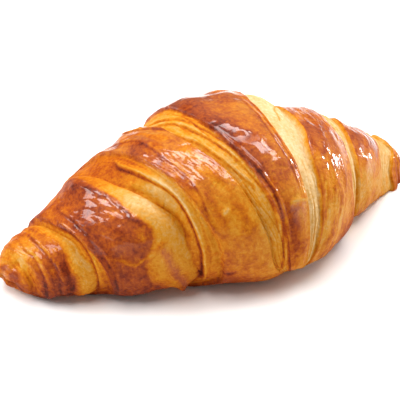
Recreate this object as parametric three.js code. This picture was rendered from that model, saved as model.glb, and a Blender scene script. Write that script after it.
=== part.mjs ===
// A baked butter croissant, as one solid.
// A triangle of layered dough is rolled up from its base to its point. Its two slanted sides then wind in
// from the ends as two spiral edges, and meet at the point, which lies low on the front. Each strip of crust
// between one winding of an edge and the next is a low dome. It falls to a valley at the foot of the next
// winding, where the cut side of the dough rises to the next edge.
// Frame, in millimetres: +X from one tip to the other, +Z up, the front towards -Y. The origin is on the
// surface that the croissant lies on, under the centre of its box.
import * as THREE from "three";

// Driving dimensions.
const HALF_LENGTH = 82;
const TIP_ROUNDING = 0.07; // share of the half length over which each tip closes
const BASE_FLATTENING = 0.9; // how much of the underside the baking tray has pressed flat
const WIDEST_AT = 0.42; // height of the widest point, as a share of the body's height
const TIPS_BACK = 12.5; // how far the tips bend back from the middle
const BEND_CENTRE = -0.09; // where the bend starts, as a share of the half length
const TIPS_UNEVEN = 2.8; // how much further the right tip bends back than the left one
const LEFT_TIP_LIFT = 2.7; // the left tip stands a little off the tray
const RIGHT_TIP_DROP = 3; // and the right one hangs a little
const DOME_RISE = 0.035; // a strip's rise, as a share of its width
const DOME_RISE_MOST = 1.2;
const BASE_RELIEF = 0.4; // share of the relief that is left on the pressed underside
const STRIP_LEVEL = 0.35; // height of the crust where the glaze ends, as a share of the next edge's height

// Exponents of the rounded cross-section: its sides, its top and its flatter underside.
const SIDE_ROUNDNESS = 2.3;
const TOP_ROUNDNESS = 2.1;
const BASE_ROUNDNESS = 3.4;

// The body without its relief: share of the half length, half width and height.
const OUTLINE = [
  [-1, 7.5, 12],
  [-0.75, 17, 28],
  [-0.5, 25.5, 44],
  [-0.25, 31, 51.5],
  [0, 36.5, 54.5],
  [0.25, 35, 49],
  [0.5, 24, 40],
  [0.75, 14.5, 26.5],
  [1, 10, 13],
];

// The two spiral edges, a row for each quarter turn, which are at the bottom, the back, the top and the front.
// A row holds the turns so far, the edge's distance in from its tip, the width of the cut side below it, the
// width of the unglazed strip beside that, the depth of the valley and the height of the edge.
const LEFT_EDGE = [
  [0, 1, 1, 1, 0, 0],
  [0.25, 3, 1, 1, 0, 0],
  [0.5, 5, 2, 1, 0.4, 0.3],
  [0.75, 9, 3, 1, 0.8, 0.5],
  [1, 12, 3, 2, 0.8, 0.6],
  [1.25, 14.5, 3, 2, 0.8, 0.6],
  [1.5, 19.7, 3, 2, 0.9, 0.8],
  [1.75, 30.2, 4.5, 6, 1.2, 1],
  [2, 31.7, 6, 5, 1, 1],
  [2.25, 33.2, 8, 4, 1, 1],
  [2.5, 48.7, 11, 6, 1.4, 1.2],
  [2.75, 64.7, 8.5, 12.5, 1.7, 1.2],
  [3, 65.2, 8, 4, 1, 1],
  [3.25, 65.7, 9, 1, 1.2, 1.1],
  [3.5, 74.7, 11, 0.7, 1.6, 1.3],
  [3.75, 86.7, 6, 0.7, 1.2, 1],
  [3.86, 92, 1, 0.7, 0, 0],
];
const RIGHT_EDGE = [
  [0, 1, 1, 0.7, 0, 0],
  [0.25, 3, 1, 0.7, 0, 0],
  [0.5, 5, 1, 0.7, 0, 0],
  [0.75, 8, 2, 0.7, 0.3, 0.3],
  [1, 11, 3, 0.7, 0.6, 0.5],
  [1.25, 14, 5, 0.7, 0.8, 0.6],
  [1.5, 17.3, 8, 0.7, 0.9, 0.8],
  [1.75, 19.8, 8, 0.7, 0.9, 0.8],
  [2, 22, 7, 0.7, 0.9, 0.8],
  [2.25, 31.3, 7, 0.7, 1, 1],
  [2.5, 39.3, 7, 0.7, 1.3, 1.1],
  [2.75, 42.3, 7, 0.7, 1.2, 1.1],
  [3, 45.3, 7, 0.7, 1, 1],
  [3.25, 57.3, 10, 0.7, 1.3, 1.3],
  [3.5, 69.3, 14, 0.7, 1.6, 1.8],
  [3.75, 69.8, 5, 0.7, 1, 1.2],
  [3.86, 70.3, 1, 0.7, 0, 0],
];
const WINDINGS = 4;
const DOUGH_POINT = LEFT_EDGE.at(-1)[0]; // the turns at which both edges end, at the dough triangle's point

// Facets: round the section, then along each side's windings (crust, unglazed strip, cut side) and the middle.
const AROUND = 64;
const ALONG_WINDINGS = [2, 1, 1, 2, 1, 2, 3, 2, 2, 3, 1, 3];
const ALONG_MIDDLE = 7;

// A smooth curve through the rows' values in one column, read at x, which is in the rows' first column.
function through(rows, column, x) {
  const last = rows.length - 1;
  const at = Math.min(Math.max(x, rows[0][0]), rows[last][0]);
  let i = 0;
  while (i < last - 1 && at > rows[i + 1][0]) i++;
  const slope = (k) => {
    const a = rows[Math.max(k - 1, 0)];
    const b = rows[Math.min(k + 1, last)];
    return (b[column] - a[column]) / (b[0] - a[0]);
  };
  const step = rows[i + 1][0] - rows[i][0];
  const t = (at - rows[i][0]) / step;
  return (
    rows[i][column] * (2 * t ** 3 - 3 * t ** 2 + 1) +
    slope(i) * step * (t ** 3 - 2 * t ** 2 + t) +
    rows[i + 1][column] * (-2 * t ** 3 + 3 * t ** 2) +
    slope(i + 1) * step * (t ** 3 - t ** 2)
  );
}

const clamp = THREE.MathUtils.clamp;
const ease = THREE.MathUtils.smoothstep;
const mix = THREE.MathUtils.lerp;

// 1 on the pressed underside and 0 on the rest. Angles are in degrees: -90 or 270 is the bottom, 0 the
// front, 90 the top and 180 the back.
function underside(angle) {
  return ease(-angle, 32, 80) + ease(angle, 212, 260);
}

// A point of the body without its relief.
function bodyPoint(x, angle) {
  const share = x / HALF_LENGTH;
  const width = through(OUTLINE, 1, share);
  const height = through(OUTLINE, 2, share);
  const pastShoulder = clamp((Math.abs(share) - (1 - TIP_ROUNDING)) / TIP_ROUNDING, 0, 1);
  const closing = Math.sqrt(1 - pastShoulder ** 2);
  const bend = share - BEND_CENTRE;
  const back = TIPS_BACK * bend ** 2 + TIPS_UNEVEN * bend ** 3;
  const lift = share < 0 ? LEFT_TIP_LIFT * share ** 4 : -RIGHT_TIP_DROP * share ** 4;
  const middle = lift + height * WIDEST_AT;
  const c = Math.cos(THREE.MathUtils.degToRad(angle));
  const s = Math.sin(THREE.MathUtils.degToRad(angle));
  const y = back - width * closing * Math.sign(c) * Math.abs(c) ** (2 / SIDE_ROUNDNESS);
  const z =
    s > 0
      ? middle + height * closing * (1 - WIDEST_AT) * s ** (2 / TOP_ROUNDNESS)
      : middle - height * closing * WIDEST_AT * Math.abs(s) ** (2 / BASE_ROUNDNESS);
  return new THREE.Vector3(x, y, z);
}

// The direction out of the body at a point.
function outwards(x, angle) {
  const near = HALF_LENGTH * (1 - 0.002);
  const a = clamp(x, -near, near);
  const along = bodyPoint(a + 0.1, angle).sub(bodyPoint(a - 0.1, angle));
  const round = bodyPoint(a, angle + 0.5).sub(bodyPoint(a, angle - 0.5));
  return round.cross(along).negate().normalize();
}

// What one winding of an edge does at an angle, as distances in from the tip.
function winding(rows, number, angle) {
  const turns = number + (270 - angle) / 360;
  const edge = through(rows, 1, turns);
  const foot = edge - through(rows, 2, turns);
  const glazeEnd = foot - through(rows, 3, turns);
  const drop = through(rows, 4, turns);
  const lip = through(rows, 5, turns);
  return { edge, foot, glazeEnd, drop, lip, there: turns <= DOUGH_POINT };
}

function windings(rows, angle) {
  return Array.from({ length: WINDINGS }, (_, number) => winding(rows, number, angle));
}

// Height of a low dome across a strip of crust, at a share of its width.
function dome(share, width, from, to) {
  const rise = Math.min(DOME_RISE * width, DOME_RISE_MOST) * 4 * share * (1 - share);
  return from * (1 - share) + to * share + rise;
}

// The last winding's edge and lip at this angle: the outermost strip of crust lies between the two sides'.
function outermost(side) {
  return side.filter((w) => w.there).at(-1);
}

// Height of the relief at a distance in from one tip, outside the outermost strip.
function sideRelief(side, distance) {
  let edge = 0;
  let lip = 0;
  for (const w of side.filter((each) => each.there)) {
    const level = STRIP_LEVEL * w.lip;
    if (distance < w.glazeEnd) {
      const width = Math.max(w.glazeEnd - edge, 0.5);
      return dome(clamp((distance - edge) / width, 0, 1), width, lip, level);
    }
    if (distance < w.foot) {
      const share = (distance - w.glazeEnd) / (w.foot - w.glazeEnd);
      return mix(level, -w.drop, share ** 2.2);
    }
    if (distance < w.edge) {
      const share = (distance - w.foot) / (w.edge - w.foot);
      return mix(-w.drop, w.lip, share ** 0.75);
    }
    edge = w.edge;
    lip = w.lip;
  }
  return lip;
}

function relief(x, angle, left, right) {
  const fromLeft = outermost(left);
  const fromRight = outermost(right);
  const start = fromLeft.edge - HALF_LENGTH;
  const end = HALF_LENGTH - fromRight.edge;
  let height;
  if (x < start) height = sideRelief(left, x + HALF_LENGTH);
  else if (x > end) height = sideRelief(right, HALF_LENGTH - x);
  else height = dome((x - start) / Math.max(end - start, 0.5), end - start, fromLeft.lip, fromRight.lip);
  return height * (1 - (1 - BASE_RELIEF) * underside(angle));
}

// Where the rings of facets cross one angle: each winding's own lines, spread out under the body, where the
// edges pass from one winding to the next.
function ringLines(rows, angle) {
  const lines = (a) => windings(rows, a).flatMap((w) => [w.glazeEnd, w.foot, w.edge]);
  const here = lines(angle);
  const first = lines(-90);
  const last = lines(270);
  const spread = underside(angle);
  const out = here.map((value, i) => mix(value, (first[i] + last[i]) / 2, spread));
  for (let i = 0; i < out.length; i++) out[i] = Math.max(out[i], i ? out[i - 1] + 0.1 : 0.15);
  return out;
}

function subdivided(lines, counts) {
  return lines.slice(1).flatMap((line, i) =>
    Array.from({ length: counts[i] }, (_, k) => mix(lines[i], line, (k + 1) / counts[i])),
  );
}

function ringPositions(angle) {
  const left = ringLines(LEFT_EDGE, angle).map((value) => value - HALF_LENGTH);
  const right = ringLines(RIGHT_EDGE, angle).map((value) => HALF_LENGTH - value);
  const lines = [-HALF_LENGTH, ...left, ...right.reverse(), HALF_LENGTH];
  const counts = [...ALONG_WINDINGS, ALONG_MIDDLE, ...[...ALONG_WINDINGS].reverse()];
  return [lines[0], ...subdivided(lines, counts)];
}

// The croissant: a sphere with its poles at the tips, each of its points moved to its place on the crust.
function croissantGeometry() {
  const along = 2 * ALONG_WINDINGS.reduce((sum, n) => sum + n) + ALONG_MIDDLE;
  const geometry = new THREE.SphereGeometry(1, AROUND, along);
  const position = geometry.getAttribute("position");
  for (let i = 0; i < AROUND; i++) {
    const angle = -90 + (360 * i) / AROUND;
    const left = windings(LEFT_EDGE, angle);
    const right = windings(RIGHT_EDGE, angle);
    ringPositions(angle).forEach((x, ring) => {
      const point = bodyPoint(x, angle);
      const isTip = ring === 0 || ring === along;
      if (!isTip) point.addScaledVector(outwards(x, angle), relief(x, angle, left, right));
      point.z = Math.max(point.z - BASE_FLATTENING, 0);
      const row = ring * (AROUND + 1);
      position.setXYZ(row + i, point.x, point.y, point.z);
      if (i === 0) position.setXYZ(row + AROUND, point.x, point.y, point.z);
    });
  }
  geometry.computeBoundingBox();
  const centre = geometry.boundingBox.getCenter(new THREE.Vector3());
  geometry.translate(-centre.x, -centre.y, -geometry.boundingBox.min.z);
  geometry.computeVertexNormals();
  return geometry;
}

const crust = new THREE.MeshStandardMaterial({ color: 0xc9741e, roughness: 0.42, metalness: 0 });
const croissant = new THREE.Mesh(croissantGeometry(), crust);
croissant.name = "croissant";

const part = new THREE.Group();
part.add(croissant);
export default part;
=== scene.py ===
# %% [markdown]
# # A butter croissant
#
# A croissant is one piece of dough: a long triangle of thin butter layers, rolled up from its base to its
# point and baked. So it is one piece here too, made from one round shape that is pushed and pulled into
# place. The CAD part gives its size, and this script gives it its crust: the open layers, the wrinkles, the
# shiny egg wash and the browning.
#
# Everything is worked out in millimetres and turned into metres at the end.

import math

import bmesh
import bpy
import numpy as np
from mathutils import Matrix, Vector


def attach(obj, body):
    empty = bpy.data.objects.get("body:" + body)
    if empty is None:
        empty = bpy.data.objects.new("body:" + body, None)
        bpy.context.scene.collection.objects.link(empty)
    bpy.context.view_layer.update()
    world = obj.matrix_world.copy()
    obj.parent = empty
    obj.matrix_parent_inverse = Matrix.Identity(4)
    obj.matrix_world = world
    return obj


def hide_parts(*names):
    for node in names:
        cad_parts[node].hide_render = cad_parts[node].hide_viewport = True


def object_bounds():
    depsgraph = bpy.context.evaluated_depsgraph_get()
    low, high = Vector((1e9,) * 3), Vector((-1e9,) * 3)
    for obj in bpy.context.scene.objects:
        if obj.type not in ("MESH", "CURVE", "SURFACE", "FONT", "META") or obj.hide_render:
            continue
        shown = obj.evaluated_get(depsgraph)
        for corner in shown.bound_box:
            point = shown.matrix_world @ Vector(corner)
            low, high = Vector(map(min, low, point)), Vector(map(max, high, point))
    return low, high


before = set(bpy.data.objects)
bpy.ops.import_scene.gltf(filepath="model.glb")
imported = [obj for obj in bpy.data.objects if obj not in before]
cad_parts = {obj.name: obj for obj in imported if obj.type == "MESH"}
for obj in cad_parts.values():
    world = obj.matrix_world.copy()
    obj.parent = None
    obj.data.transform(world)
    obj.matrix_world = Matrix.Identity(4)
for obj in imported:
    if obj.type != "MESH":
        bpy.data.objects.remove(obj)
cad_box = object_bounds()
MM = 0.001
print("CAD box, mm:", [[round(v / MM, 1) for v in corner] for corner in cad_box])

# %% [markdown]
# ## The view
#
# The croissant is seen from its front, turned a little to the left and from above, through a long lens
# that hardly spreads the near and the far end. A camera that looks along its own -Z axis is turned with
# `to_track_quat`, which needs only the direction to look in. The small shifts slide the picture on the
# sensor, so the framing changes and the perspective doesn't.

# %% Camera
VIEW_TURN = math.radians(-27)
VIEW_RISE = math.radians(34)
VIEW_DISTANCE = 600
VIEW_TARGET = Vector((-7.3, -0.95, 28))
LENS = 154
SHIFT = (-0.014, -0.041)

towards_camera = Vector(
    (
        math.sin(VIEW_TURN) * math.cos(VIEW_RISE),
        -math.cos(VIEW_TURN) * math.cos(VIEW_RISE),
        math.sin(VIEW_RISE),
    )
)
camera_data = bpy.data.cameras.new("view")
camera_data.lens = LENS
camera_data.shift_x, camera_data.shift_y = SHIFT
camera = bpy.data.objects.new("view", camera_data)
camera.location = (VIEW_TARGET + VIEW_DISTANCE * towards_camera) * MM
camera.rotation_euler = (-towards_camera).to_track_quat("-Z", "Y").to_euler()
bpy.context.collection.objects.link(camera)
bpy.context.scene.camera = camera
print("camera at, mm:", [round(v / MM) for v in camera.location])

# %% [markdown]
# ## The table
#
# A plain, nearly white surface, much larger than the view, so no edge or horizon shows. A grid of one face
# is enough, since it is flat and has one colour. It is rough and hardly shines, so no lamp shows in it.

# %% Floor
FLOOR_HALF_SIZE = 3.0
FLOOR_COLOUR = (0.98, 0.98, 0.98, 1)
FLOOR_ROUGHNESS = 0.9
FLOOR_SHINE = 0.1


def new_object(name, mesh):
    made = bpy.data.objects.new(name, mesh)
    bpy.context.collection.objects.link(made)
    return made


floor_shape = bmesh.new()
bmesh.ops.create_grid(floor_shape, x_segments=1, y_segments=1, size=FLOOR_HALF_SIZE)
floor_mesh = bpy.data.meshes.new("floor")
floor_shape.to_mesh(floor_mesh)
floor_shape.free()
floor = new_object("floor", floor_mesh)

floor_paint = bpy.data.materials.new("pale_table")
floor_paint.use_nodes = True
floor_shader = floor_paint.node_tree.nodes["Principled BSDF"]
floor_shader.inputs["Base Color"].default_value = FLOOR_COLOUR
floor_shader.inputs["Roughness"].default_value = FLOOR_ROUGHNESS
floor_shader.inputs["Specular IOR Level"].default_value = FLOOR_SHINE
floor_mesh.materials.append(floor_paint)
print("floor:", len(floor_mesh.polygons), "face")

# %% [markdown]
# ## The room
#
# The egg wash mirrors the room, so an even white sky would lay a pale veil over every dome. A sky that is
# dim at the horizon, brighter overhead and a little warm fills the shadows and keeps the crust's colours.
# The height of each direction is read from the world's own coordinates.

# %% Sky
SKY_COLOUR = (1, 0.95, 0.88, 1)
SKY_ZENITH, SKY_HORIZON = 0.46, 0.2

scene = bpy.context.scene
scene.view_settings.view_transform = "Standard"
sky = bpy.data.worlds.new("studio")
scene.world = sky
sky.use_nodes = True
sky_nodes, sky_links = sky.node_tree.nodes, sky.node_tree.links
sky_nodes["Background"].inputs["Color"].default_value = SKY_COLOUR
direction = sky_nodes.new("ShaderNodeTexCoord")
heights = sky_nodes.new("ShaderNodeSeparateXYZ")
sky_links.new(direction.outputs["Generated"], heights.inputs["Vector"])
brightness = sky_nodes.new("ShaderNodeMapRange")
brightness.inputs["To Min"].default_value = SKY_HORIZON
brightness.inputs["To Max"].default_value = SKY_ZENITH
sky_links.new(heights.outputs["Z"], brightness.inputs["Value"])
sky_links.new(brightness.outputs["Result"], sky_nodes["Background"].inputs["Strength"])
print("sky:", SKY_HORIZON, "at the horizon,", SKY_ZENITH, "overhead")

# %% [markdown]
# ## The lamps
#
# A shiny crust shows its lamps, so each one is chosen for its reflection as well as for its light. Two
# long soft boxes overhead light the whole croissant and put the sheen on the three large domes. A smaller
# one at the left does the same for the dome near the left tip. At the right, a narrow one up high and a
# narrow upright one, like a tall window, give the small bright streaks on the last two domes.

# %% Lamps
LAMPS = {
    "overhead_left": {"place": (-261, 45, 684), "aim": (-30, 0, 25), "size": (620, 230), "watts": 3.55},
    "overhead_right": {"place": (256, 85, 672), "aim": (5, 0, 25), "size": (620, 280), "watts": 4.1},
    "left": {"place": (-480, 170, 330), "aim": (-30, 0, 25), "size": (300, 210), "watts": 1.75},
    "high_right": {"place": (467, 40, 550), "aim": (5, 0, 25), "size": (300, 70), "watts": 0.6},
    "window": {"place": (594, 35, 95), "aim": (30, 0, 30), "size": (30, 200), "watts": 1.6},
}


def soft_box(name, place, aim, size, watts):
    lamp_data = bpy.data.lights.new(name, "AREA")
    lamp_data.shape = "RECTANGLE"
    lamp_data.size, lamp_data.size_y = size[0] * MM, size[1] * MM
    lamp_data.energy = watts
    lamp = bpy.data.objects.new(name, lamp_data)
    lamp.location = Vector(place) * MM
    lamp.rotation_euler = (Vector(aim) - Vector(place)).to_track_quat("-Z", "Y").to_euler()
    bpy.context.collection.objects.link(lamp)
    return lamp


lamps = [soft_box(name, **lamp) for name, lamp in LAMPS.items()]
print("lamps:", [lamp.name for lamp in lamps])

# %% [markdown]
# ## Smooth curves
#
# A croissant's outline swells and tapers without a corner. `through` draws such a curve through a few
# given values, as a bent batten does: each station's slope comes from its two neighbours. `ease` is a soft
# switch from 0 to 1. Both work on whole arrays, so one call does every vertex.

# %% Curve helpers


def through(stations, values, at):
    stations, values = np.asarray(stations, float), np.asarray(values, float)
    slopes = np.gradient(values, stations)
    slopes[1:-1] = (values[2:] - values[:-2]) / (stations[2:] - stations[:-2])
    at = np.clip(at, stations[0], stations[-1])
    i = np.clip(np.searchsorted(stations, at) - 1, 0, len(stations) - 2)
    step = stations[i + 1] - stations[i]
    t = (at - stations[i]) / step
    return (
        values[i] * (2 * t**3 - 3 * t**2 + 1)
        + slopes[i] * step * (t**3 - 2 * t**2 + t)
        + values[i + 1] * (3 * t**2 - 2 * t**3)
        + slopes[i + 1] * step * (t**3 - t**2)
    )


def ease(value, low, high):
    t = np.clip((value - low) / (high - low), 0, 1)
    return t * t * (3 - 2 * t)


print("a curve through 0, 1, 0 reads", round(float(through([0, 1, 2], [0, 1, 0], 0.5)), 3), "half-way up")

# %% [markdown]
# ## Lumps
#
# Dough is never quite even. `lumps` gives random hills and hollows of a chosen size: random heights are
# given to the corners of a lattice, and each point blends the eight corners round it. A texture node could
# do this for the colours, but here it moves vertices too. The seed makes them the same every time.

# %% Lump helper
LATTICE = 32


def lumps(points, size, seed):
    corner_heights = np.random.default_rng(seed).uniform(-1, 1, (LATTICE,) * 3)
    scaled = np.asarray(points, float) / size
    corner = np.floor(scaled).astype(int)
    part = scaled - corner
    part = part * part * (3 - 2 * part)
    total = 0
    for dx in (0, 1):
        for dy in (0, 1):
            for dz in (0, 1):
                index = (corner + (dx, dy, dz)) % LATTICE
                weight = (
                    (part[..., 0] if dx else 1 - part[..., 0])
                    * (part[..., 1] if dy else 1 - part[..., 1])
                    * (part[..., 2] if dz else 1 - part[..., 2])
                )
                total = total + weight * corner_heights[index[..., 0], index[..., 1], index[..., 2]]
    return total


print("a lump's height:", round(float(lumps([[0.5, 0.5, 0.5]], 1, 1)[0]), 3))

# %% [markdown]
# ## The rolled body
#
# Without its layers a croissant is a fat spindle: round on top, pressed flat underneath by the tray, and
# bent back at both tips. Its width and height are given at nine places along its length: a fit gave the
# first values, which were then rounded and changed. The bend and the tips' lift are the fit's own.
# Angles run round the body: 0 is the front, 90 the top, 180 the back, and -90 or 270 the bottom. A section
# a little squarer than an ellipse makes full sides, and a much squarer lower half makes the flat base.

# %% Body form
HALF_LENGTH = 82
OUTLINE = {
    "share": [-1, -0.75, -0.5, -0.25, 0, 0.25, 0.5, 0.75, 1],
    "half_width": [7.5, 17, 25.5, 31, 36.5, 35, 24, 14.5, 10],
    "height": [12, 28, 44, 51.5, 54.5, 49, 40, 26.5, 13],
}
TIP_ROUNDING = 0.07
WIDEST_AT = 0.42
SIDE_ROUNDNESS, TOP_ROUNDNESS, BASE_ROUNDNESS = 2.3, 2.1, 3.4
BEND_CENTRE = -0.09
BEND, BEND_TO_RIGHT = 12.5, 2.8
LEFT_TIP_LIFT, RIGHT_TIP_LIFT = 2.7, -3.0


def body_points(x, angle):
    length_share = x / HALF_LENGTH
    wide = through(OUTLINE["share"], OUTLINE["half_width"], length_share)
    tall = through(OUTLINE["share"], OUTLINE["height"], length_share)
    past_shoulder = np.clip((np.abs(length_share) - (1 - TIP_ROUNDING)) / TIP_ROUNDING, 0, 1)
    closing = np.sqrt(1 - past_shoulder**2)
    from_centre = length_share - BEND_CENTRE
    back = BEND * from_centre**2 + BEND_TO_RIGHT * from_centre**3
    lift = np.where(length_share < 0, LEFT_TIP_LIFT, RIGHT_TIP_LIFT) * length_share**4
    c, s = np.cos(np.radians(angle)), np.sin(np.radians(angle))
    y = back - wide * closing * np.sign(c) * np.abs(c) ** (2 / SIDE_ROUNDNESS)
    above = tall * closing * (1 - WIDEST_AT) * np.abs(s) ** (2 / TOP_ROUNDNESS)
    below = tall * closing * WIDEST_AT * np.abs(s) ** (2 / BASE_ROUNDNESS)
    z = lift + tall * WIDEST_AT + np.where(s > 0, above, -below)
    return np.stack([x + 0 * y, y, z], -1)


print("body's middle section, mm:", np.round(body_points(np.zeros(3), np.array([0, 90, 180])), 1).tolist())

# %% [markdown]
# ## The two spiral edges
#
# The slanted sides of the rolled triangle show as two spiral edges. Each starts at a tip and winds in,
# turn by turn, until both meet at the point of the dough, low on the front. The tables follow each edge
# by quarter turns, from the bottom (0) to the back (0.25), the top (0.5) and the front (0.75), and on.
# `edge` is its distance from the tip. Beside the edge lies its cut side, `foot` wide, then a strip that
# the egg wash missed, `strip` wide, and then the next glazed crust. `drop` is the depth of the valley
# between them, and `lip` is how far the edge stands proud. A little random waver makes them hand-rolled.

# %% Spiral edges
QUARTERS = [0, 0.25, 0.5, 0.75, 1, 1.25, 1.5, 1.75, 2, 2.25, 2.5, 2.75, 3, 3.25, 3.5, 3.62, 3.75, 3.86]
LEFT = {
    "edge": [1, 3, 5, 9, 12, 14, 17.9, 29.2, 31.2, 32, 48.2, 64.7, 65, 63, 72.9, 79.9, 86.7, 92],
    "foot": [1, 1, 2, 3, 3, 2.5, 2, 4, 6, 8, 11, 8.5, 8, 12, 10, 8, 6, 1],
    "strip": [1, 1, 1, 2, 2, 2, 2.4, 6, 5, 3, 4, 12.5, 4, 1, 0.7, 0.7, 0.7, 0.7],
    "drop": [0, 0, 0.4, 0.8, 0.8, 0.9, 1.2, 1.8, 1.2, 1.2, 2.6, 3.4, 1.6, 1.4, 1.8, 1.6, 1.4, 0],
    "lip": [0, 0, 0.3, 0.5, 0.6, 0.7, 1.0, 1.2, 1.0, 1.0, 1.4, 1.4, 1.0, 1.1, 1.6, 1.4, 1.2, 0],
}
RIGHT = {
    "edge": [1, 3, 5, 8, 11, 14, 17.3, 19.8, 22, 31.3, 39.3, 42.3, 45.3, 57.3, 69, 68.2, 69.6, 70.3],
    "foot": [1, 1, 1, 2, 3, 6, 10, 10, 7, 7, 7, 7, 7, 15, 14, 9.4, 5, 1],
    "strip": [0.7] * 18,
    "drop": [0, 0, 0, 0.3, 0.6, 0.8, 0.9, 0.9, 0.9, 1.0, 1.3, 1.2, 1.0, 1.3, 1.6, 1.3, 1.0, 0],
    "lip": [0, 0, 0, 0.3, 0.5, 0.5, 0.5, 0.7, 0.8, 0.7, 0.6, 1.0, 1.0, 1.0, 1.3, 1.3, 1.2, 0],
}
LEFT_SEED, RIGHT_SEED = 41, 51
WINDINGS = 4
WAVES_PER_TURN = 15
EDGE_WAVER = 0.7
FOOT_WAVER, STRIP_WAVER = 0.16, 0.3
STRIP_WAVE_SIZE = 1.6
STEADY_TURNS = 2


def edge_at(side, winding, angle):
    turns = winding + (270 - angle) / 360
    found = {name: through(QUARTERS, values, turns) for name, values in side.items()}
    seed = LEFT_SEED if side is LEFT else RIGHT_SEED
    along_turns = np.stack([turns * WAVES_PER_TURN, 0 * turns, 0 * turns], -1)
    growing = np.clip(turns, 0, STEADY_TURNS) / STEADY_TURNS
    found["edge"] = found["edge"] + EDGE_WAVER * growing * lumps(along_turns, 1, seed)
    found["foot"] = found["foot"] * (1 + FOOT_WAVER * lumps(along_turns, 1, seed + 1))
    found["strip"] = found["strip"] * (1 + STRIP_WAVER * lumps(along_turns, STRIP_WAVE_SIZE, seed + 2))
    return found


front_left = [round(float(edge_at(LEFT, k, 0)["edge"]), 1) for k in range(WINDINGS)]
print("left edge on the front, mm from the tip:", front_left)

# %% [markdown]
# ## The lines of the mesh
#
# A crisp step needs a row of vertices along it, so the rings of the mesh are not evenly spaced: some of
# them follow the spiral edges exactly, and the others share out the space between. Underneath, where one
# winding passes into the next, the rings ease over to the mean of both, so that each ring closes. The
# front and the top get more meridians than the back and the base, which show less.

# %% Ring positions
AROUND = 240
FACES_ALONG = [12, 4, 6, 14, 8, 10, 26, 16, 20, 33, 3, 27]  # crust, strip and cut side, from the tip inwards
FACES_MIDDLE = 56
FRONT_DENSITY = 1.35
DENSE_FROM, DENSE_TO, DENSE_EASE = -60, 160, 30
DENSITY_STEPS = 2881
TIP_GAP, LINE_GAP = 0.15, 0.1
BASE_STARTS, BASE_FULL = 32, 80


def underside(angle):
    return ease(-angle, BASE_STARTS, BASE_FULL) + ease(angle, 180 + BASE_STARTS, 180 + BASE_FULL)


def strip_lines(side, angle):
    def lines(at):
        found = []
        for k in range(WINDINGS):
            e = edge_at(side, k, at)
            found += [e["edge"] - e["foot"] - e["strip"], e["edge"] - e["foot"], e["edge"]]
        return np.array(found)

    ends = (lines(np.array([-90.0])) + lines(np.array([270.0]))) / 2
    spread = underside(angle)
    out = lines(angle) * (1 - spread) + ends * spread
    out[0] = np.maximum(out[0], TIP_GAP)
    for k in range(1, len(out)):
        out[k] = np.maximum(out[k], out[k - 1] + LINE_GAP)
    return out


def angles_around():
    even = np.linspace(-90, 270, DENSITY_STEPS)
    dense = ease(even, DENSE_FROM, DENSE_FROM + DENSE_EASE) * ease(-even, -DENSE_TO, -DENSE_TO + DENSE_EASE)
    density = 1 + (FRONT_DENSITY - 1) * dense
    travelled = np.concatenate([[0], np.cumsum((density[1:] + density[:-1]) / 2)])
    return np.interp(np.arange(AROUND) / AROUND * travelled[-1], travelled, even)


def shared_out(start, lines, counts):
    rows = []
    for line, count in zip(lines, counts):
        rows += [start + (line - start) * i / count for i in range(1, count + 1)]
        start = line
    return rows


angle_row = angles_around()
left_lines = strip_lines(LEFT, angle_row) - HALF_LENGTH
right_lines = HALF_LENGTH - strip_lines(RIGHT, angle_row)
tip = np.full(AROUND, float(HALF_LENGTH))
rings = [-tip] + shared_out(-tip, left_lines, FACES_ALONG)
rings += shared_out(left_lines[-1], [right_lines[-1]], [FACES_MIDDLE])
rings += shared_out(right_lines[-1], list(right_lines[-2::-1]) + [tip], FACES_ALONG[::-1])
X = np.array(rings)
ANGLE = np.broadcast_to(angle_row, X.shape)
RINGS = len(X) - 1
print("mesh:", RINGS, "faces along,", AROUND, "around")

# %% [markdown]
# ## Where each point lies on the dough
#
# Each ring belongs to one strip of one winding, so a few counters tell what every point of the mesh is:
# glazed crust, missed strip or cut side, how far across that strip it lies, and how wide the strip is
# there. The middle dome is the fifth winding, shared by both sides.

# %% Strips
CRUST, STRIP, CUT = 0, 1, 2
MIDDLE = (0, WINDINGS)

kind = np.zeros(X.shape, int)
winding = np.zeros(X.shape, int)
side_sign = np.zeros(X.shape, int)
share = np.zeros(X.shape)
width = np.ones(X.shape)


def mark_strips(first_ring, lines, counts, sign):
    ring = first_ring
    start = np.full(AROUND, sign * float(HALF_LENGTH))
    for n, (line, count) in enumerate(zip(lines, counts)):
        for i in range(count):
            at = ring - sign * i
            kind[at] = n % 3
            winding[at] = n // 3
            side_sign[at] = sign
            share[at] = i / count
            width[at] = np.abs(line - start)
        ring -= sign * count
        start = line
    return ring


inner_left = mark_strips(0, left_lines, FACES_ALONG, -1)
inner_right = mark_strips(RINGS, right_lines, FACES_ALONG, 1)
middle = slice(inner_left, inner_right + 1)
kind[middle] = CRUST
side_sign[middle], winding[middle] = MIDDLE
share[middle] = np.linspace(0, 1, inner_right - inner_left + 1)[:, None]
width[middle] = np.abs(right_lines[-1] - left_lines[-1])


def strip_of(sign, k):
    return (side_sign == sign) & (winding == k)


print("strips on one side:", int(winding[middle].max()), "windings of 3")

# %% [markdown]
# ## Measuring along the roll
#
# Wrinkles, fibres and streaks on a croissant run with the roll of the dough, not with the table. `across`
# and `along` are distances over the dough in millimetres that follow the roll, so a pattern that is drawn
# with them bends as the dough does. Each winding is set apart, so no pattern carries on across an edge.

# %% Roll coordinates
WINDING_APART = 40.0

body = body_points(X, ANGLE)
front = np.argmin(np.abs(angle_row))
across = np.broadcast_to(X[:, front : front + 1], X.shape)
around_step = np.linalg.norm(np.roll(body, -1, 1) - body, axis=-1)
along = np.cumsum(around_step, 1) - np.cumsum(around_step, 1)[:, front : front + 1]
roll = np.stack([across, along, winding * WINDING_APART], -1)


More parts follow.
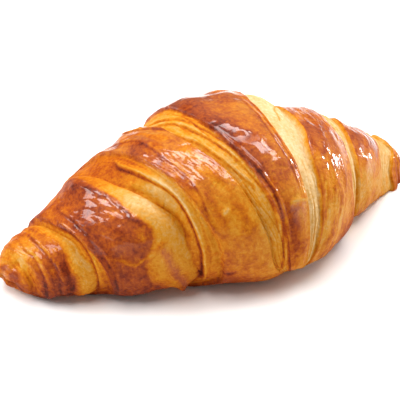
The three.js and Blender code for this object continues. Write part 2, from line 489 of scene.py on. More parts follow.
def roll_lumps(across_size, along_size, seed):
    return lumps(roll / (across_size, along_size, 1), 1, seed)


print("along the roll, mm:", round(float(along.min())), "to", round(float(along.max())))

# %% [markdown]
# ## The relief of the layers
#
# Each glazed crust is a low dome between two edges. Past the missed strip it sinks into a valley, and the
# cut side of the next layers climbs from there to the next lip, which ends in a small sharp step, as thick
# as the crust. Separate overlapping sheets would be truer, but no layer hides another by much, so one
# height above the body does all this and the skin stays closed.

# %% Relief
LEFT_DOME_RISE, RIGHT_DOME_RISE = 0.07, 0.09
DOME_RISE_MOST = 1.8
STRIP_LEVEL = 0.35
CRUST_THICKNESS = 0.8
NARROWEST_STEP = 1
STEP_SHARE = 0.4
LIP_FALL, VALLEY_FALL, CUT_CLIMB = 1.5, 2.2, 0.75
BASE_RELIEF = 0.4


def dome(rise):
    return np.minimum(rise * width, DOME_RISE_MOST) * 4 * share * (1 - share)


def relief_of(sign, side, rise):
    height = np.zeros(X.shape)
    outer_lip = 0 * angle_row
    for k in range(WINDINGS):
        e = edge_at(side, k, angle_row)
        level = STRIP_LEVEL * e["lip"]
        on_crust = outer_lip * (1 - share) ** LIP_FALL + level * share + dome(rise)
        on_strip = level - (e["drop"] + level) * share**VALLEY_FALL
        step = 1 - CRUST_THICKNESS / np.maximum(width, NARROWEST_STEP)
        climb = (1 - STEP_SHARE) * share**CUT_CLIMB + STEP_SHARE * ease(share, step, 1)
        on_cut = -e["drop"] + (e["lip"] + e["drop"]) * climb
        for part, value in ((CRUST, on_crust), (STRIP, on_strip), (CUT, on_cut)):
            height = np.where(strip_of(sign, k) & (kind == part), value, height)
        outer_lip = e["lip"]
    return height


last_left = edge_at(LEFT, WINDINGS - 1, angle_row)["lip"]
last_right = edge_at(RIGHT, WINDINGS - 1, angle_row)["lip"]
middle_height = last_left * (1 - share) + last_right * share + dome(LEFT_DOME_RISE)
both_sides = relief_of(-1, LEFT, LEFT_DOME_RISE) + relief_of(1, RIGHT, RIGHT_DOME_RISE)
relief = np.where(side_sign == 0, middle_height, both_sides)
relief *= 1 - (1 - BASE_RELIEF) * underside(ANGLE)
print("relief, mm:", round(float(relief.min()), 2), "to", round(float(relief.max()), 2))

# %% [markdown]
# ## Lifted sheets
#
# The dough is made of sheets as thin as paper, and here and there one has come loose and curls up. Its
# free edge is sharp and bakes dark, and its dark line also holds painted shade at the foot of the edge; the
# paler line just inside is a painted highlight. Behind it the sheet runs out. Each sheet here is a ramp
# along a curve of points, measured on the body in millimetres from the middle and degrees round. That gives
# the light a true edge to catch, where a bump would stay flat.

# %% Lifted sheets
FADE_OUTSIDE, FADE_INSIDE = 12, 4
EDGE_HALF_WIDTH = 0.3
# The dark line at the foot of each edge is partly its browning and partly painted shade; the pale line just
# inside it is a painted highlight.
EDGE_DARK_AND_SHADE_AT, PAINTED_HIGHLIGHT_AT = -0.35, 0.45
PAINTED_HIGHLIGHT = 0.5
LINE_SPREAD = 0.2
# Each sheet's browning also sets how strong its painted shade and painted highlight are.
SHEETS = [  # reach and rise in mm, browning of the edge, then its points
    # the left tip and both sides of its pale band
    (4, 0.9, 0.3, [(-71, 90), (-70, 60), (-67.5, 25), (-67, -15)]),
    (3.5, 0.7, 0.25, [(-74.5, 80), (-73, 50), (-71.5, 15), (-71, -25)]),
    (2.5, 0.8, 0.25, [(-62.5, 80), (-59.5, 50), (-57.5, 20), (-56, -20)]),
    (2, 0.5, 0.2, [(-60, 90), (-57.5, 60), (-54.5, 30), (-51, 0), (-50, -25)]),
    # the high ridge between the two wide pale bands
    (6.0, 1.8, 0.5, [(-40, 92), (-35.6, 72), (-29.4, 49), (-26.3, 26), (-23.7, -2), (-22.9, -25)]),
    (2, 0.15, 0.1, [(-38, 100), (-34.6, 82), (-28.4, 57), (-25, 40), (-22.8, 20), (-21, 0)]),
    (2.4, 0.3, 0.15, [(-35, 120), (-30, 95), (-26.5, 72), (-22.5, 52), (-20.5, 30)]),
    # the layered band left of the middle dome
    (2.2, 0.8, 0.22, [(-30, 125), (-22, 100), (-15, 80), (-10, 60), (-4, 40)]),
    (2, 0.7, 0.24, [(-26, 125), (-17, 100), (-11.5, 80), (-6, 58), (-1, 35), (1.5, 15)]),
    (1.6, 0.6, 0.22, [(-21, 120), (-14, 98), (-9, 80), (-4, 60), (0.4, 40), (3, 15), (3.6, -15)]),
    (1.2, 0.4, 0.12, [(-19, 115), (-11, 92), (-6.6, 75), (-1.7, 52), (1.8, 32), (4.2, 8)]),
    # the right edge of the middle dome
    (1.6, 0.3, 0.16, [(10, 95), (9.4, 78), (9.2, 66), (10.4, 50), (11, 36)]),
    (1.2, 0.3, 0.1, [(12.5, 92), (11.8, 76), (11.4, 62), (12.2, 46), (12, 34)]),
    # the pale bands on the right
    (-2.4, 0.8, 0.12, [(17, 45), (16.2, 20), (15.3, 0), (12.5, -22)]),
    (-2, 0.8, 0.12, [(19.6, 35), (18.4, 12), (16.6, -8), (13.5, -26)]),
    (-1.6, 0.6, 0.12, [(21.5, 40), (20.4, 18), (18.2, -5), (15, -26)]),
    (-2, 0.5, 0.15, [(46, 95), (46.5, 60), (45, 30), (43, 0)]),
    (-1.8, 0.5, 0.15, [(68, 95), (68.4, 60), (68, 30), (66.5, 0)]),
]


def line_at(offset, centre):
    return np.exp(-((offset - centre) ** 2) / LINE_SPREAD)


def sheet_edge(points, reach):
    angles, xs = zip(*sorted((a, x) for x, a in points))
    offset = (X - through(angles, xs, ANGLE)) * np.sign(reach)
    inside = ease(ANGLE, angles[0] - FADE_OUTSIDE, angles[0] + FADE_INSIDE)
    inside = inside * (1 - ease(ANGLE, angles[-1] - FADE_INSIDE, angles[-1] + FADE_OUTSIDE))
    ramp_up = ease(offset, -EDGE_HALF_WIDTH, EDGE_HALF_WIDTH) * np.clip(1 - offset / abs(reach), 0, 1)
    line = line_at(offset, EDGE_DARK_AND_SHADE_AT) - PAINTED_HIGHLIGHT * line_at(offset, PAINTED_HIGHLIGHT_AT)
    return ramp_up * inside, line * inside


# These lines hold browning, painted shade at the foot of each edge and a painted highlight just inside it.
sheet_height = np.zeros(X.shape)
sheet_brown_and_painted_light = np.zeros(X.shape)
for reach, rise, brown, points in SHEETS:
    ramp_up, line = sheet_edge(points, reach)
    sheet_height += rise * ramp_up
    sheet_brown_and_painted_light += brown * line
print("lifted sheets:", len(SHEETS), "up to", round(float(sheet_height.max()), 2), "mm")

# %% [markdown]
# ## Single marks
#
# Some things happened to this croissant only once: a crack, a burnt spot, a fold of the brushed-on egg, a
# drop of egg wash. Each is one soft stroke along a few given points, with a half width, and it changes the
# height, the browning and the glaze together, as one event in the oven does. One stroke, in the hollow
# under the ridge, holds painted shade in its browning. The points wander a little, so a stroke doesn't look
# ruled.

# %% Strokes
RADIUS_SHARE = 0.55
HEIGHT_SHARE = 0.5
WANDER, WANDER_SIZE, WANDER_SEEDS = 0.9, 4, (31, 32)
FAR_AWAY, SMALLEST = 1e9, 1e-9
STROKES = [  # half width and rise in mm, browning, glaze, then the points
    # ridges and drops of egg wash
    (0.45, 0.2, -0.2, -0.3, [(-52.8, 21), (-45.3, 7), (-41, 10)]),
    (0.5, 0.3, -0.3, -0.3, [(5.5, 25.7), (10, 27), (14, 26)]),
    (0.7, 0.25, -0.2, 0.6, [(-16.5, 27.5), (-14.5, 29.5)]),
    (0.4, 0.2, -0.15, 0, [(-3, 34), (1.4, 33)]),
    # burnt patches and spots low on the front
    (2.6, 0, 0.27, 0, [(7, 20), (8.5, 0)]),
    (1.1, -0.3, 0.45, 0, [(-23.7, -16.5)]),
    (1.0, -0.3, 0.4, 0, [(-16, -11), (-13.5, -12)]),
    # the tongue at the foot of the widest pale band
    (1.5, 0.4, 0.24, 0.3, [(-37.2, 14), (-34.8, 2), (-33.2, -4), (-30.9, -15), (-27.5, -36)]),
    (1.5, 1.7, 0.1, 0, [(-28.3, -38)]),
    # the left tip's knob and its cracks
    (3.0, 0.4, -0.2, 0, [(-77, 62)]),
    (0.9, -0.5, 0.12, 0, [(-79, 60), (-79.3, 20)]),
    (0.8, -0.5, 0.12, 0, [(-80.5, 90), (-80, 45), (-80.5, 0)]),
    (1.0, -0.5, 0.22, 0, [(-66, 40), (-65, 15), (-64, -5)]),
    # darker streaks over the domes and low on the left tip
    (1.8, 0, 0.14, 0, [(-58, 75), (-56, 50), (-53, 25)]),
    (0.75, 0.3, 0.24, 0.2, [(-54.3, 102), (-49.2, 82), (-46, 66), (-44, 51), (-41.8, 36)]),
    (3.5, 0, 0.05, 0, [(-46, 112), (-42, 92), (-38, 72)]),
    (4.5, 0, 0.1, 0, [(-35, 120), (-31, 95), (-28, 80)]),
    (4.0, 0, 0.1, 0, [(-14, 125), (-7, 95), (-3, 70)]),
    (2.0, 0, 0.14, -0.4, [(-12, 100), (-5, 75), (-1.5, 55), (2.5, 30), (5.5, 10), (7, -10)]),
    (6, 0, 0.04, 0, [(-72, -15), (-62, -25)]),
    # the scalloped hollow under the ridge, browned as painted shade, a thick drop, and a hairline crack
    (1.3, -0.7, 0.12, 0, [(-39.7, 67.8), (-36.2, 55.9), (-33.9, 44.1), (-31.1, 30.9), (-27.8, 15.1)]),
    (2.6, 0.2, 0.05, 0.6, [(52, 38), (52.5, 28)]),
    (0.35, -0.2, 0.3, 0, [(27, 108), (18.6, 84)]),
]


def stroke(points, half_width):
    size = through(OUTLINE["share"], OUTLINE["half_width"], X / HALF_LENGTH)
    size = size + through(OUTLINE["share"], OUTLINE["height"], X / HALF_LENGTH) * HEIGHT_SHARE
    mm_per_degree = RADIUS_SHARE * size * math.radians(1)
    wandered = X + WANDER * lumps(body, WANDER_SIZE, WANDER_SEEDS[0])
    wandered_round = WANDER * lumps(body, WANDER_SIZE, WANDER_SEEDS[1])
    nearest = np.full(X.shape, FAR_AWAY)
    points = points if len(points) > 1 else points * 2
    for (x0, a0), (x1, a1) in zip(points, points[1:]):
        px, pa = wandered - x0, (ANGLE - a0) * mm_per_degree + wandered_round
        dx, da = x1 - x0, (a1 - a0) * mm_per_degree
        t = np.clip((px * dx + pa * da) / np.maximum(dx * dx + da * da, SMALLEST), 0, 1)
        nearest = np.minimum(nearest, np.hypot(px - t * dx, pa - t * da))
    return np.exp(-((nearest / half_width) ** 2))


# The strokes' browning is mostly the crust's own, and in the hollow under the ridge it is painted shade.
stroke_height = np.zeros(X.shape)
stroke_brown_and_shade = np.zeros(X.shape)
stroke_glaze = np.zeros(X.shape)
for half_width, rise, brown, shine, points in STROKES:
    covered = stroke(points, half_width)
    stroke_height += rise * covered
    stroke_brown_and_shade += brown * covered
    stroke_glaze += shine * covered
print("strokes:", len(STROKES))

# %% [markdown]
# ## Egg wash and open layers
#
# The egg wash lies on the crusts and runs a little way over each strip, and it reaches the lip of each cut
# side. What it leaves bare shows the edges of the layers, more in some windings than in others. `glazed`
# and `open_side` say how much of each there is at every point, from 0 to 1. Low on the front, the crust
# right of the middle has split into thin layers too.

# %% Glazed and open
OPEN_LAYERS = {
    (-1, 0): 0.6,
    (-1, 1): 0.5,
    (-1, 2): 0.25,
    (-1, 3): 1.0,
    (1, 3): 0.3,
    (1, 2): 0.9,
    (1, 1): 0.8,
    (1, 0): 0.5,
}
LIP_WIDTH, NARROWEST_LIP = 1.2, 1.5
WASH_OVER_STRIP = 0.25
SPLIT_CUT_ANGLES, SPLIT_CRUST_ANGLES, SPLIT_CRUST_SHARES = (5, 40), (5, 45), (0.2, 0.6)

glazed = np.where(kind == CRUST, 1.0, 0.0)
glazed = np.where(kind == STRIP, 1 - ease(share, 0, WASH_OVER_STRIP), glazed)
on_lip = ease(share, 1 - LIP_WIDTH / np.maximum(width, NARROWEST_LIP), 1)
glazed = np.where(kind == CUT, on_lip, glazed)
striated = np.zeros(X.shape)
for (sign, k), amount in OPEN_LAYERS.items():
    striated = np.where(strip_of(sign, k) & (kind != CRUST), amount, striated)
low_front = 1 - ease(ANGLE, *SPLIT_CUT_ANGLES)
split_cut = strip_of(1, 3) & (kind == CUT)
striated = np.where(split_cut, OPEN_LAYERS[(1, 3)] + (1 - OPEN_LAYERS[(1, 3)]) * low_front, striated)
split_crust = strip_of(1, 3) & (kind == CRUST)
split_share = (1 - ease(ANGLE, *SPLIT_CRUST_ANGLES)) * ease(share, *SPLIT_CRUST_SHARES)
open_side = np.where(split_crust, split_share, (1 - glazed) * striated)
print("glazed share of the crust:", round(float(glazed.mean()), 2))

# %% [markdown]
# ## Crest and hem
#
# Seen against the light, the croissant's outline has its own small hills and dents, along the crest and
# along the hem near the table. They are millimetres in and out along the length, and each fades away round
# the body. Most of these values are not hand-made: a separate script compared two outlines and wrote them,
# and only the ones at 6, 14 and 22 on the crest and at 29, 35, 40 and 48 on the hem were set by hand after
# it. A few hills drawn by eye would be easier to read and to change.

# %% Crest and hem
CREST = {
    "x": [
        *(-80, -77, -72, -66, -60, -55, -51, -45, -40, -35, -30, -24, -15),
        *(-8, 0, 6, 14, 22, 31, 38, 43, 50, 58, 65, 75, 80),
    ],
    "rise": [
        *(1.1, 0.8, 0.1, -0.1, -0.4, 0.7, 2.3, 0.1, -1, -1.8, -0.4, 0.1, 1.1),
        *(0.3, -2.1, -1.1, 0.1, 1.1, -1.8, -2, -0.9, 0.1, -3.1, -1.4, -1.2, -2.2),
    ],
}
HEM = {
    "x": [
        *(-81, -77, -73, -66, -60, -53, -45, -38, -33, -29, -24, -16),
        *(-8, 3, 10, 19, 29, 35, 40, 48, 56, 64, 72, 80),
    ],
    "rise": [
        *(-2.7, -0.6, -0.1, -1.2, -0.6, -1.3, -1.1, -1.7, -1.5, -0.7, -0.4, -1.3),
        *(-1.4, 0.7, 0.7, 0.1, -0.9, -0.3, 0.8, 0, -0.4, 0.9, 2.2, 1),
    ],
}
CREST_IN, CREST_OUT = (60, 105), (190, 235)
HEM_IN, HEM_OUT = (-85, -50), (-20, 15)


def unevenness(x, angle):
    crest = ease(angle, *CREST_IN) * (1 - ease(angle, *CREST_OUT))
    hem = ease(angle, *HEM_IN) * (1 - ease(angle, *HEM_OUT))
    return crest * through(CREST["x"], CREST["rise"], x) + hem * through(HEM["x"], HEM["rise"], x)


outline_change = unevenness(X, ANGLE)
print("outline, mm:", round(float(outline_change.min()), 1), "to", round(float(outline_change.max()), 1))

# %% [markdown]
# ## Wrinkles, fibres and blisters
#
# Dough never bakes smooth. The glazed crust shrinks into fine wrinkles that run with the roll, the open
# cut sides show the edges of many thin layers as little terraces, and the whole body is a little uneven.
# All of these are added to the height, each at its own size, because a mesh this fine can hold them and
# their highlights then break up by themselves.

# %% Fine relief
UNEVEN = [(0.55, 17, 1), (0.45, 8, 2), (0.18, 4, 22)]  # height and size in mm, and the seed
SOFT_WRINKLE, SHARP_WRINKLE, CRACKLE, TIP_WRINKLE = 0.16, 0.28, 0.1, 0.3
TERRACE, FIBRE, GRAIN = 0.26, 0.12, 0.07
GRAIN_SIZE = 1.3
LAYER_PITCH, LAYER_WOBBLE = 1.5, 1.1
TERRACE_SLOPE = 1.5
BASE_SMOOTHING = 0.7
TIP_WRINKLES_FROM = (66, 72)

phase = across / LAYER_PITCH + LAYER_WOBBLE * roll_lumps(5, 22, 21)
in_layer = phase - np.floor(phase)
terraces = in_layer**TERRACE_SLOPE * np.where(side_sign > 0, -1, 1)
uneven = sum(height * lumps(body, size, seed) for height, size, seed in UNEVEN)
soft_wrinkles = SOFT_WRINKLE * roll_lumps(2.6, 7, 3)
sharp_wrinkles = SHARP_WRINKLE * (0.5 - np.abs(roll_lumps(3.0, 8.5, 4)))
crackle = CRACKLE * roll_lumps(1.3, 3.0, 8)
tip_wrinkles = TIP_WRINKLE * roll_lumps(1.3, 9, 9) * ease(-X, *TIP_WRINKLES_FROM)
layers = TERRACE * terraces + FIBRE * roll_lumps(0.7, 14, 6)
grain = GRAIN * lumps(body, GRAIN_SIZE, 7)
fine = uneven * (1 - BASE_SMOOTHING * underside(ANGLE)) + glazed * (soft_wrinkles + sharp_wrinkles + crackle)
fine = fine + tip_wrinkles + open_side * layers + (1 - glazed) * grain
fine = fine + sheet_height + stroke_height + outline_change
print("fine relief, mm:", round(float(fine.min()), 2), "to", round(float(fine.max()), 2))

# %% [markdown]
# ## One closed mesh
#
# The croissant starts as a UV sphere with its poles at the two tips. Its rings and meridians are counted
# by their angles, and every vertex moves to its own place on the crust, so no face has to be built by
# hand, and the shape stays closed. The relief moves each point straight out from the smooth body, and what
# would sink below the table is pressed flat, as the tray does.

# %% Croissant mesh
BASE_FLATTENING = 0.9

grow_x = np.gradient(body, axis=0)
wrapped = np.concatenate([body[:, -1:], body, body[:, :1]], 1)
grow_round = np.gradient(wrapped, axis=1)[:, 1:-1]
outward = np.cross(grow_round, grow_x)
outward = -outward / np.maximum(np.linalg.norm(outward, axis=-1, keepdims=True), SMALLEST)
place = body + outward * (relief + fine)[..., None]
place[..., 2] = np.maximum(place[..., 2] - BASE_FLATTENING, 0)
place[0], place[-1] = body[0].mean(0), body[-1].mean(0)
low, high = (np.array(corner) / MM for corner in cad_box)
place[..., :2] += ((low + high) / 2 - (place.min((0, 1)) + place.max((0, 1))) / 2)[:2]

shape = bmesh.new()
bmesh.ops.create_uvsphere(shape, u_segments=AROUND, v_segments=RINGS, radius=1)
shape.verts.ensure_lookup_table()
sphere = np.array([v.co for v in shape.verts])
ring_of = np.rint(np.arccos(np.clip(sphere[:, 2], -1, 1)) / math.pi * RINGS).astype(int)
turn = np.degrees(np.arctan2(sphere[:, 1], sphere[:, 0])) / 360 * AROUND
meridian = np.rint(turn).astype(int) % AROUND
for vertex, ring, m in zip(shape.verts, ring_of, meridian):
    vertex.co = place[ring, m] * MM
bmesh.ops.recalc_face_normals(shape, faces=shape.faces)
mesh = bpy.data.meshes.new("croissant_crust")
shape.to_mesh(mesh)
shape.free()
for face in mesh.polygons:
    face.use_smooth = True
croissant = new_object("croissant_crust", mesh)
triangles = sum(len(face.vertices) - 2 for face in mesh.polygons)
print("croissant:", len(mesh.vertices), "vertices,", triangles, "triangles")

# %% [markdown]
# ## How brown each winding is
#
# The crust browns where it stands proud and where the egg wash is thick, and stays cream where the layers
# opened late in the oven. One number, from 0 for raw cream to 1 for nearly burnt, is given to each strip of
# each winding and blended across it. Its changes towards the low front and the crest also hold some painted
# light and shade. A painted image could do this, but numbers on the mesh follow the edges exactly and need
# no image.

# %% Browning by winding
# The changes towards the low front are partly the crust's own colour and partly painted light, which keeps
# the low front of the middle and the right paler.
CRUST_BROWNING = {  # outer edge, middle and inner edge, and the change towards the low front
    (-1, 0): (0.6, 0.6, 0.62, 0.1),
    (-1, 1): (0.62, 0.66, 0.7, 0.14),
    (-1, 2): (0.8, 0.76, 0.74, 0.04),
    (-1, 3): (0.72, 0.63, 0.6, -0.1),
    MIDDLE: (0.8, 0.69, 0.7, -0.28),
    (1, 3): (0.7, 0.72, 0.7, -0.14),
    (1, 2): (0.76, 0.78, 0.76, -0.32),
    (1, 1): (0.7, 0.6, 0.5, 0.1),
    (1, 0): (0.8, 0.7, 0.6, 0.1),
}
OPEN_BROWNING = {  # missed strip, foot and top of the cut side, the change to the low front and to the crest
    (-1, 0): (0.5, 0.5, 0.55, 0.1, 0),
    (-1, 1): (0.34, 0.45, 0.6, 0.04, 0.15),
    # This band's strong change towards the crest is partly painted shade, where the band faces away from the
    # light.
    (-1, 2): (0.23, 0.29, 0.3, 0.22, 0.36),
    (-1, 3): (0.42, 0.42, 0.46, 0.0, 0.02),
    (1, 3): (0.18, 0.13, 0.14, 0.12, 0.02),
    (1, 2): (0.28, 0.2, 0.22, 0.06, 0.05),
    (1, 1): (0.3, 0.2, 0.3, 0.1, 0.1),
    (1, 0): (0.6, 0.6, 0.7, 0.1, 0),
}
WASH_FADE = {-1: 1.3, 1: 0.5}
CUT_OFFSET = 1.0
RIGHT_LIP_BROWNING = 0.08
CREST_ANGLES, FRONT_ANGLES = (55, 95), (0, 70)


def lip_browning(sign, k, top):
    if sign > 0:
        return top + RIGHT_LIP_BROWNING
    return CRUST_BROWNING[(sign, k + 1) if k < WINDINGS - 1 else MIDDLE][0]


to_crest = ease(ANGLE, *CREST_ANGLES)
to_front = 1 - ease(ANGLE, *FRONT_ANGLES)
baked = np.zeros(X.shape)
for (sign, k), (outer, centre, inner, low_front_tone_and_light) in CRUST_BROWNING.items():
    value = np.interp(share, [0, 0.5, 1], [outer, centre, inner]) + low_front_tone_and_light * to_front
    baked = np.where(strip_of(sign, k) & (kind == CRUST), value, baked)
for (sign, k), (strip, foot, top, low_front_tone_and_light, crest_tone_and_shade) in OPEN_BROWNING.items():
    here = strip_of(sign, k)
    crust_inner = CRUST_BROWNING[(sign, k)][2] + CRUST_BROWNING[(sign, k)][3] * to_front
    value = np.where(kind == STRIP, strip, foot + (top - foot) * share)
    value = value + low_front_tone_and_light * to_front + crest_tone_and_shade * to_crest
    from_crust = np.where(kind == STRIP, share * width, CUT_OFFSET + share * width)
    value = value + (crust_inner - value) * np.exp(-from_crust / WASH_FADE[sign])
    baked = np.where(here & (kind != CRUST), value, baked)
    lip_value = lip_browning(sign, k, top)
    baked = np.where(here & (kind == CUT), baked + (lip_value - baked) * on_lip, baked)
print("browning by winding:", round(float(baked.min()), 2), "to", round(float(baked.max()), 2))

# %% [markdown]
# ## Streaks, blotches and the tray side
#
# Up close the browning is uneven: the tops of wrinkles and the edges of the thin layers are darker, pale
# streaks show where the crust has split, the hem is darker, partly from the hot tray and partly as painted
# shade low on the front, and the whole base has the tray's own even brown. All of these are small changes
# to the number that each point already has. What comes out above a dark brown is held back, so that nothing
# turns black.

# %% Streaks and blotches
TERRACE_LINE, TERRACE_PALE = 0.16, 0.05
TERRACE_LINE_AT, TERRACE_LINE_SPREAD = 0.05, 0.02
BLOTCHES = [(0.06, 9, 11), (0.07, 3.2, 12)]  # amount, size in mm, and the seed
WRINKLE_BROWNING = 0.4
PALE_STREAK = 0.22
OPEN_BLOTCH = 0.05
HEM_BROWNING_AND_SHADE, HEM_STARTS, HEM_ENDS = 0.2, (-15, 35), (60, 90)
TRAY_BROWNING, TRAY_BLOTCHES = 0.66, 0.5
TRAY_FRONT, TRAY_BACK = (50, 82), (228, 262)
DARK_FROM, DARK_SHARE = 0.8, 0.5

terrace_line = np.exp(-((in_layer - TERRACE_LINE_AT) ** 2) / TERRACE_LINE_SPREAD)
baked = baked + open_side * (TERRACE_LINE * terrace_line - TERRACE_PALE)
blotches = sum(amount * lumps(place, size, seed) for amount, size, seed in BLOTCHES)
blotches = blotches + WRINKLE_BROWNING * (soft_wrinkles + crackle + tip_wrinkles)
pale_streaks = PALE_STREAK * open_side * ease(roll_lumps(0.9, 8, 15), 0, 0.5)
baked = np.where(split_crust, baked - pale_streaks, baked)
baked = baked + glazed * blotches + OPEN_BLOTCH * (1 - glazed) * lumps(place, 5, 13)
# The hem is darker partly from the hot tray and partly as painted shade low on the front.
hem = ease(-ANGLE, *HEM_STARTS) * (1 - ease(-ANGLE, *HEM_ENDS))
baked = baked + HEM_BROWNING_AND_SHADE * hem + sheet_brown_and_painted_light + stroke_brown_and_shade
tray_side = ease(-ANGLE, *TRAY_FRONT) + ease(ANGLE, *TRAY_BACK)
baked = baked + (TRAY_BROWNING + TRAY_BLOTCHES * blotches - baked) * tray_side
baked = np.where(baked > DARK_FROM, DARK_FROM + (baked - DARK_FROM) * DARK_SHARE, baked)
baked = np.clip(baked, 0, 1)
print("browning:", round(float(baked.min()), 2), "to", round(float(baked.max()), 2))

# %% [markdown]
# ## How the egg wash was brushed
#
# A brush comes from above, so the wash is thick on top, thins out down the front and the back, and ends
# higher on some domes than on others. It is patchy where it dried in the wrinkles, and thin along the right
# rim of the middle dome and on the crests of the domes near both ends.

# %% Egg wash
BRUSH_START, BRUSH_FADE, BRUSH_END = 3, 40, (150, 230)
STARTS_HIGHER = [  # by how many degrees, towards which side, and from and to how far out in mm
    (25, 1, (15, 28)),
    (19, -1, (2, 10)),
    (-10, -1, (30, 40)),
]
LEFT_END_THINNER, LEFT_END_FROM = 0.62, (46, 58)
LEAST_WASH = 0.08
LEAST_PATCH, PATCH_CRACKLE, PATCH_EDGES = 0.15, 0.4, (-0.75, -0.2)
RIM_THINNER, RIM_FROM = 0.8, (0.8, 0.95)
THINNER_CRESTS = [  # how much, over which degrees, towards which side, and from and to how far out in mm
    (0.5, (65, 90), 1, (22, 30)),
    (0.65, (74, 92), -1, (38, 48)),
]

brush_start = np.full(X.shape, float(BRUSH_START))
for higher, side_of, reach in STARTS_HIGHER:
    brush_start = brush_start + higher * ease(side_of * X, *reach)
brushed = ease(ANGLE, brush_start, brush_start + BRUSH_FADE)
brushed = brushed * (1 - LEFT_END_THINNER * ease(-X, *LEFT_END_FROM)) * (1 - ease(ANGLE, *BRUSH_END))
patches = roll_lumps(2.6, 5.5, 14) + PATCH_CRACKLE * crackle / CRACKLE
patchy = LEAST_PATCH + (1 - LEAST_PATCH) * ease(patches, *PATCH_EDGES)
rim = np.where(winding == WINDINGS, 1 - RIM_THINNER * ease(share, *RIM_FROM), 1)
for thinner, angles, side_of, reach in THINNER_CRESTS:
    rim = rim * (1 - thinner * ease(ANGLE, *angles) * ease(side_of * X, *reach))
glaze = glazed * rim * (LEAST_WASH + (1 - LEAST_WASH) * brushed) * patchy
glaze = np.clip(glaze + stroke_glaze, 0, 1)
print("egg wash, mean:", round(float(glaze.mean()), 2))

# %% [markdown]
# ## Values for the finish
#
# The finish has to know what each place is. Attributes on the mesh carry that: `baked`, `glaze` and
# `layered` are one number for each vertex, and `roll` is the position along the roll. They stay with the
# piece wherever it goes.

# %% Mesh attributes


def store(name, values):
    attribute = mesh.attributes.new(name, "FLOAT", "POINT")
    attribute.data.foreach_set("value", values[ring_of, meridian].astype(np.float32))


store("baked", baked)
store("glaze", glaze)
store("layered", open_side)
roll_map = mesh.attributes.new("roll", "FLOAT_VECTOR", "POINT")
roll_map.data.foreach_set("vector", roll[ring_of, meridian].astype(np.float32).ravel())
print("attributes:", [name for name in ("baked", "glaze", "layered", "roll") if name in mesh.attributes])

# %% [markdown]
# ## Helpers for the finish
#
# The finish is a small net of nodes. These helpers add a node, read an attribute, do sums, and make noise
# or a bump, so that the net below reads like a recipe. Colours are picked as they look on a screen, and
# `linear` turns them into the amounts of light that the shader works with.

# %% Node helpers
crust = bpy.data.materials.new("baked_crust")
crust.use_nodes = True
nodes, links = crust.node_tree.nodes, crust.node_tree.links
shader = nodes["Principled BSDF"]


def linear(colour):
    shares = [c / 255 for c in colour]
    return [s / 12.92 if s <= 0.04045 else ((s + 0.055) / 1.055) ** 2.4 for s in shares] + [1]


def add(kind_of_node, **settings):
    node = nodes.new(kind_of_node)
    for name, value in settings.items():
        setattr(node, name, value)
    return node


def read(name, output="Fac"):
    return add("ShaderNodeAttribute", attribute_name=name).outputs[output]


def noise(vector, scale, detail=3.0, rough=0.6):
    node = add("ShaderNodeTexNoise")
    node.inputs["Scale"].default_value = scale
    node.inputs["Detail"].default_value = detail
    node.inputs["Roughness"].default_value = rough
    links.new(vector, node.inputs["Vector"])
    return node.outputs["Fac"]


def math_node(operation, first, second):
    node = add("ShaderNodeMath", operation=operation)
    for socket, value in zip(node.inputs, (first, second)):
        if isinstance(value, (int, float)):
            socket.default_value = value
        else:
            links.new(value, socket)
    return node.outputs[0]


def either_side_of_zero(pattern, amount):
    return math_node("MULTIPLY", math_node("SUBTRACT", pattern, 0.5), amount)


def bump(height, strength, distance, below=None):
    node = add("ShaderNodeBump")
    node.inputs["Strength"].default_value = strength
    node.inputs["Distance"].default_value = distance
    links.new(height, node.inputs["Height"])
    if below is not None:
        links.new(below, node.inputs["Normal"])
    return node.outputs["Normal"]


print("mid grey in linear light:", round(linear((128, 128, 128))[0], 3))

# %% [markdown]
# ## The crust's colour
#
# One ramp turns the browning into the colours of baked dough, from cream through gold and orange to dark
# brown. Noise moves each spot a little way along it, so a blotch is always a colour that baking can give:
# a mottle, finer freckles, and fibres that follow the roll and are strongest on the open layers.

# %% Crust colour
BAKING_COLOURS = [
    (0.00, (222, 198, 158)),
    (0.15, (214, 178, 124)),
    (0.30, (200, 152, 82)),
    (0.45, (200, 134, 32)),
    (0.60, (188, 106, 10)),
    (0.75, (160, 72, 10)),
    (0.90, (120, 42, 12)),
    (1.00, (80, 24, 6)),
]
MOTTLE_SCALE, FRECKLE_SCALE = 380, 900
MOTTLE, FRECKLES = 0.34, 0.36
FIBRES_ON_CRUST, FIBRES_ON_LAYERS = 0.1, 0.3
FIBRE_STRETCH, SKIN_STRETCH = (1.9, 0.14, 1), (0.5, 0.24, 1)

ramp = add("ShaderNodeValToRGB")
stops = ramp.color_ramp.elements
while len(stops) < len(BAKING_COLOURS):
    stops.new(0.5)
for stop, (position, colour) in zip(stops, BAKING_COLOURS):
    stop.position = position
    stop.color = linear(colour)

place_in = add("ShaderNodeTexCoord").outputs["Object"]
roll_in = read("roll", "Vector")


def along_roll(stretch):
    node = add("ShaderNodeVectorMath", operation="MULTIPLY")
    node.inputs[1].default_value = stretch
    links.new(roll_in, node.inputs[0])
    return node.outputs[0]


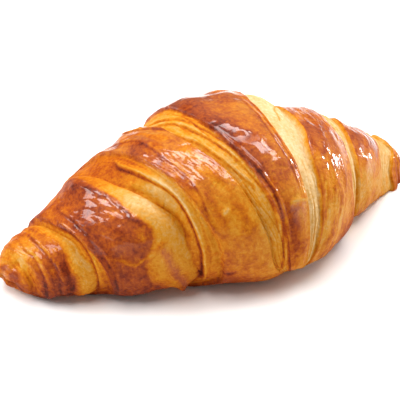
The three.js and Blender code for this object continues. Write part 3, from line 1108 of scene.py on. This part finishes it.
fibres = noise(along_roll(FIBRE_STRETCH), 1.0, 3.0)
skin = noise(along_roll(SKIN_STRETCH), 1.0, 0.8)
mottle = noise(place_in, MOTTLE_SCALE, 3.0, 0.65)
freckles = noise(place_in, FRECKLE_SCALE, 2.0, 0.6)
fibre_amount = math_node("ADD", math_node("MULTIPLY", read("layered"), FIBRES_ON_LAYERS), FIBRES_ON_CRUST)
browned = math_node("ADD", read("baked"), either_side_of_zero(mottle, MOTTLE))
browned = math_node("ADD", browned, either_side_of_zero(fibres, fibre_amount))
browned = math_node("ADD", browned, either_side_of_zero(freckles, FRECKLES))
links.new(browned, ramp.inputs["Fac"])
links.new(ramp.outputs["Color"], shader.inputs["Base Color"])
print("baking colours:", len(stops))

# %% [markdown]
# ## The egg wash
#
# Baked egg is a thin clear varnish over a dull crust. The shader's coat is just that: a second, smooth
# surface over the rough one, there only as far as `glaze` says. The crust under it has a fine bump from
# the mottle and the freckles, and the coat has its own, softer one, as a varnish that filled the pores.

# %% Crust material
CRUST_ROUGHNESS, CRUST_SHINE = 0.6, 0.08
WASH_ROUGHNESS, WASH_IOR = 0.1, 1.6
MOTTLE_BUMP, FRECKLE_BUMP, WASH_BUMP = (0.6, 0.0005), (0.9, 0.0004), (1.0, 0.0005)  # strength, depth in m

fine_bump = bump(freckles, *FRECKLE_BUMP, bump(mottle, *MOTTLE_BUMP))
wash_bump = bump(skin, *WASH_BUMP)
links.new(fine_bump, shader.inputs["Normal"])
links.new(wash_bump, shader.inputs["Coat Normal"])
links.new(read("glaze"), shader.inputs["Coat Weight"])
shader.inputs["Roughness"].default_value = CRUST_ROUGHNESS
shader.inputs["Specular IOR Level"].default_value = CRUST_SHINE
shader.inputs["Coat Roughness"].default_value = WASH_ROUGHNESS
shader.inputs["Coat IOR"].default_value = WASH_IOR
mesh.materials.append(crust)
print("crust material:", len(nodes), "nodes")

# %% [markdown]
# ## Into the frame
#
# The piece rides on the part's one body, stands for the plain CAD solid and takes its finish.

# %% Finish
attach(croissant, "root")
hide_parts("croissant")
